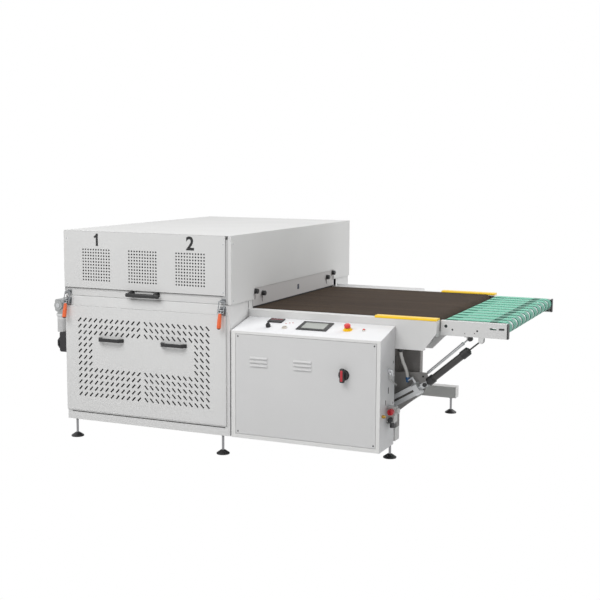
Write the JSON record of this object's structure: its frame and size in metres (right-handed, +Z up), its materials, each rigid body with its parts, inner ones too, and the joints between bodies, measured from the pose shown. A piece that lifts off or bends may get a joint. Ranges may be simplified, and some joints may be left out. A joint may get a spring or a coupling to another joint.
{
  "type": "ultraviolet curing dryer",
  "caption": "Conveyor curing dryer with a lift-up lamp hood, mesh belt, side control console and a hinged outfeed table of flat belts.",
  "frame": {"origin": "middle of the footprint on the floor", "axes": "+X along the belt towards the outfeed table, +Y away from the operator's side, +Z up"},
  "size_m": [3.1232, 2.17, 1.4],
  "materials": {
    "base_frame": "grey painted tube",
    "base_skins": "light grey fine-texture powder coat",
    "belt_bed": "bare sheet",
    "cabinet_door": "light grey fine-texture powder coat",
    "cabinet_shell": "light grey fine-texture powder coat",
    "conveyor_belt": "brown open mesh, fluoropolymer-coated glass",
    "conveyor_rails": "light grey powder coat",
    "drive_roller": "turned steel",
    "edge_guards": "yellow",
    "electrics": "plated plate and moulded devices",
    "exhaust_blower": "grey painted sheet, galvanised spigot",
    "exit_knob_1": "black moulded, steel stud",
    "exit_knob_2": "black moulded, steel stud",
    "exit_knob_3": "black moulded, steel stud",
    "exit_knob_4": "black moulded, steel stud",
    "exit_shield": "light grey powder coat",
    "fan_housings": "black moulded",
    "fan_rotor_1": "black moulded",
    "fan_rotor_2": "black moulded",
    "gear_motor": "grey motor, black connection housing",
    "gearbox": "die-cast",
    "grille_handles": "black moulded",
    "grille_panel": "light grey fine-texture powder coat",
    "hood_front_cover": "light grey fine-texture powder coat, punched field",
    "hood_handle": "black moulded",
    "hood_shell": "light grey fine-texture powder coat",
    "lamp_reflectors": "polished sheet",
    "latch_brackets": "zinc plated",
    "latch_hook_left": "bright wire",
    "latch_hook_right": "bright wire",
    "latch_keepers": "zinc plated",
    "latch_lever_left": "orange-red grip on a plated lever",
    "latch_lever_right": "orange-red grip on a plated lever",
    "levelling_feet": "matt black pads on zinc-plated stems",
    "lift_cylinder": "anodised profile",
    "lift_strut": "black tube, bright rod",
    "main_switch": "black moulded",
    "nose_roller": "turned steel",
    "outfeed_stand": "light grey powder coat",
    "panel_devices": "black and grey moulded",
    "piston_rod": "hard-chromed rod, zinc-plated fork",
    "regulator_knob": "black moulded",
    "reset_button": "moulded",
    "roller_bearings": "grey cast",
    "selector_knob": "black moulded",
    "side_fittings": "die-cast bodies, translucent hose",
    "start_button": "moulded",
    "stay_guide": "black",
    "stay_rod": "bright",
    "stop_base": "yellow moulded",
    "stop_button": "red moulded",
    "table_bed": "bare sheet",
    "table_brackets": "light grey powder coat",
    "table_drive_roller": "turned steel",
    "table_end_caps": "black moulded",
    "table_end_roller": "turned steel",
    "table_rails": "light grey powder coat",
    "transfer_belts": "mint green flat belt",
    "uv_lamps": "clear quartz, white ceramic bases",
    "valve_knob": "red moulded"
  },
  "bodies": {
    "machine": {"base_frame": "base_frame", "base_skins": "base_skins", "grille_panel": "grille_panel", "grille_handles": "grille_handles", "levelling_feet": "levelling_feet", "exhaust_blower": "exhaust_blower", "conveyor_rails": "conveyor_rails", "belt_bed": "belt_bed", "conveyor_belt": "conveyor_belt", "roller_bearings": "roller_bearings", "gearbox": "gearbox", "gear_motor": "gear_motor", "edge_guards": "edge_guards", "outfeed_stand": "outfeed_stand", "table_brackets": "table_brackets", "lift_cylinder": "lift_cylinder", "cabinet_shell": "cabinet_shell", "panel_devices": "panel_devices", "stop_base": "stop_base", "electrics": "electrics", "side_fittings": "side_fittings", "latch_brackets": "latch_brackets"},
    "hood": {"hood_shell": "hood_shell", "hood_front_cover": "hood_front_cover", "hood_handle": "hood_handle", "latch_keepers": "latch_keepers", "lamp_reflectors": "lamp_reflectors", "uv_lamps": "uv_lamps", "fan_housings": "fan_housings"},
    "table": {"table_rails": "table_rails", "table_end_caps": "table_end_caps", "table_bed": "table_bed", "transfer_belts": "transfer_belts"},
    "cabinet_door": {"cabinet_door": "cabinet_door"},
    "drive_roller": {"drive_roller": "drive_roller"},
    "exit_knob_1": {"exit_knob_1": "exit_knob_1"},
    "exit_knob_2": {"exit_knob_2": "exit_knob_2"},
    "exit_knob_3": {"exit_knob_3": "exit_knob_3"},
    "exit_knob_4": {"exit_knob_4": "exit_knob_4"},
    "exit_shield": {"exit_shield": "exit_shield"},
    "fan_rotor_1": {"fan_rotor_1": "fan_rotor_1"},
    "fan_rotor_2": {"fan_rotor_2": "fan_rotor_2"},
    "latch_hook_left": {"latch_hook_left": "latch_hook_left"},
    "latch_hook_right": {"latch_hook_right": "latch_hook_right"},
    "latch_lever_left": {"latch_lever_left": "latch_lever_left"},
    "latch_lever_right": {"latch_lever_right": "latch_lever_right"},
    "lift_strut": {"lift_strut": "lift_strut"},
    "main_switch": {"main_switch": "main_switch"},
    "nose_roller": {"nose_roller": "nose_roller"},
    "piston_rod": {"piston_rod": "piston_rod"},
    "regulator_knob": {"regulator_knob": "regulator_knob"},
    "reset_button": {"reset_button": "reset_button"},
    "selector_knob": {"selector_knob": "selector_knob"},
    "start_button": {"start_button": "start_button"},
    "stay_guide": {"stay_guide": "stay_guide"},
    "stay_rod": {"stay_rod": "stay_rod"},
    "stop_button": {"stop_button": "stop_button"},
    "table_drive_roller": {"table_drive_roller": "table_drive_roller"},
    "table_end_roller": {"table_end_roller": "table_end_roller"},
    "valve_knob": {"valve_knob": "valve_knob"}
  },
  "joints": [
    {"name": "hood_lift", "type": "hinge", "parent": "machine", "child": "hood", "pos_m": [-0.72135, 1.039, 0.97], "axis": [-1, 0, 0], "range_deg": [0, 35]},
    {"name": "shield_slide", "type": "slide", "parent": "hood", "child": "exit_shield", "axis": [0, 0, 1], "range_m": [0, 0.05]},
    {"name": "exit_knob_1_turn", "type": "hinge", "parent": "hood", "child": "exit_knob_1", "pos_m": [-0.10135, -0.667, 1.021], "axis": [1, 0, 0], "range_deg": [-180, 180]},
    {"name": "exit_knob_2_turn", "type": "hinge", "parent": "hood", "child": "exit_knob_2", "pos_m": [-0.10135, -0.555, 0.998], "axis": [1, 0, 0], "range_deg": [-180, 180]},
    {"name": "exit_knob_3_turn", "type": "hinge", "parent": "hood", "child": "exit_knob_3", "pos_m": [-0.10135, 0.565, 0.998], "axis": [1, 0, 0], "range_deg": [-180, 180]},
    {"name": "exit_knob_4_turn", "type": "hinge", "parent": "hood", "child": "exit_knob_4", "pos_m": [-0.10135, 0.677, 1.021], "axis": [1, 0, 0], "range_deg": [-180, 180]},
    {"name": "fan_1_spin", "type": "hinge", "parent": "hood", "child": "fan_rotor_1", "pos_m": [-1.09135, -0.957, 1.178], "axis": [0, 1, 0], "continuous": true},
    {"name": "fan_2_spin", "type": "hinge", "parent": "hood", "child": "fan_rotor_2", "pos_m": [-0.39135, -0.957, 1.178], "axis": [0, 1, 0], "continuous": true},
    {"name": "latch_left_open", "type": "hinge", "parent": "machine", "child": "latch_lever_left", "pos_m": [-1.30935, -1.039, 0.932], "axis": [-1, 0, 0], "range_deg": [0, 110]},
    {"name": "latch_left_hook_swing", "type": "hinge", "parent": "latch_lever_left", "child": "latch_hook_left", "pos_m": [-1.30935, -1.049, 0.918], "axis": [-1, 0, 0], "range_deg": [-110.5, 0.5]},
    {"name": "latch_right_open", "type": "hinge", "parent": "machine", "child": "latch_lever_right", "pos_m": [-0.15935, -1.039, 0.932], "axis": [-1, 0, 0], "range_deg": [0, 110]},
    {"name": "latch_right_hook_swing", "type": "hinge", "parent": "latch_lever_right", "child": "latch_hook_right", "pos_m": [-0.15935, -1.049, 0.918], "axis": [-1, 0, 0], "range_deg": [-110.5, 0.5]},
    {"name": "conveyor_drive", "type": "hinge", "parent": "machine", "child": "drive_roller", "pos_m": [-1.51435, 0.005, 0.8677], "axis": [0, 1, 0], "continuous": true},
    {"name": "nose_roller_spin", "type": "hinge", "parent": "machine", "child": "nose_roller", "pos_m": [1.07865, 0.005, 0.8677], "axis": [0, 1, 0], "continuous": true},
    {"name": "table_tilt", "type": "hinge", "parent": "machine", "child": "table", "pos_m": [1.18165, 0.005, 0.8767], "axis": [0, -1, 0], "range_deg": [0, 25]},
    {"name": "table_drive", "type": "hinge", "parent": "machine", "child": "table_drive_roller", "pos_m": [1.18165, 0.005, 0.8767], "axis": [0, 1, 0], "continuous": true},
    {"name": "table_end_roller_spin", "type": "hinge", "parent": "table", "child": "table_end_roller", "pos_m": [1.52065, 0.005, 0.8767], "axis": [0, 1, 0], "continuous": true},
    {"name": "piston_slide", "type": "slide", "parent": "machine", "child": "piston_rod", "axis": [0.8572, 0, 0.515], "range_m": [-0.0005, 0.085]},
    {"name": "strut_swing", "type": "hinge", "parent": "piston_rod", "child": "lift_strut", "pos_m": [1.05665, -0.665, 0.505], "axis": [0, -1, 0], "range_deg": [-0.5, 11]},
    {"name": "stay_swing", "type": "hinge", "parent": "machine", "child": "stay_guide", "pos_m": [1.02865, -0.603, 0.545], "axis": [0, -1, 0], "range_deg": [-0.5, 5]},
    {"name": "stay_slide", "type": "slide", "parent": "stay_guide", "child": "stay_rod", "axis": [0.7417, 0, 0.6707], "range_m": [-0.0005, 0.0605]},
    {"name": "door_swing", "type": "hinge", "parent": "machine", "child": "cabinet_door", "pos_m": [-0.06035, -1.009, 0.159], "axis": [0, 0, -1], "range_deg": [0, 90]},
    {"name": "main_switch_turn", "type": "hinge", "parent": "cabinet_door", "child": "main_switch", "pos_m": [0.65465, -1.015, 0.592], "axis": [0, 1, 0], "range_deg": [0, 90]},
    {"name": "stop_press", "type": "slide", "parent": "machine", "child": "stop_button", "axis": [0, 0.2126, -0.9771], "range_m": [0, 0.004], "stiffness_N_per_m": 900},
    {"name": "selector_turn", "type": "hinge", "parent": "machine", "child": "selector_knob", "pos_m": [0.10565, -0.91338, 0.83311], "axis": [0, -0.2126, 0.9771], "range_deg": [-45, 45]},
    {"name": "start_press", "type": "slide", "parent": "machine", "child": "start_button", "axis": [0, 0.2126, -0.9771], "range_m": [0, 0.003], "stiffness_N_per_m": 500},
    {"name": "reset_press", "type": "slide", "parent": "machine", "child": "reset_button", "axis": [0, 0.2126, -0.9771], "range_m": [0, 0.003], "stiffness_N_per_m": 500},
    {"name": "air_valve_turn", "type": "hinge", "parent": "machine", "child": "valve_knob", "pos_m": [0.91465, -0.887, 0.366], "axis": [0, -1, 0], "range_deg": [0, 90]},
    {"name": "regulator_turn", "type": "hinge", "parent": "machine", "child": "regulator_knob", "pos_m": [0.91065, -0.887, 0.316], "axis": [0, -1, 0], "range_deg": [-135, 135]}
  ],
  "couplings": [
    {"joint": "latch_left_hook_swing", "follows": "latch_left_open", "ratio": -1},
    {"joint": "latch_right_hook_swing", "follows": "latch_right_open", "ratio": -1},
    {"joint": "nose_roller_spin", "follows": "conveyor_drive", "ratio": 1},
    {"joint": "table_end_roller_spin", "follows": "table_drive", "ratio": 1},
    {"joint": "piston_slide", "follows": "table_tilt", "m_per_rad": 0.19148},
    {"joint": "strut_swing", "follows": "table_tilt", "ratio": 0.3996},
    {"joint": "stay_swing", "follows": "table_tilt", "ratio": 0.1609},
    {"joint": "stay_slide", "follows": "table_tilt", "m_per_rad": 0.13483}
  ]
}
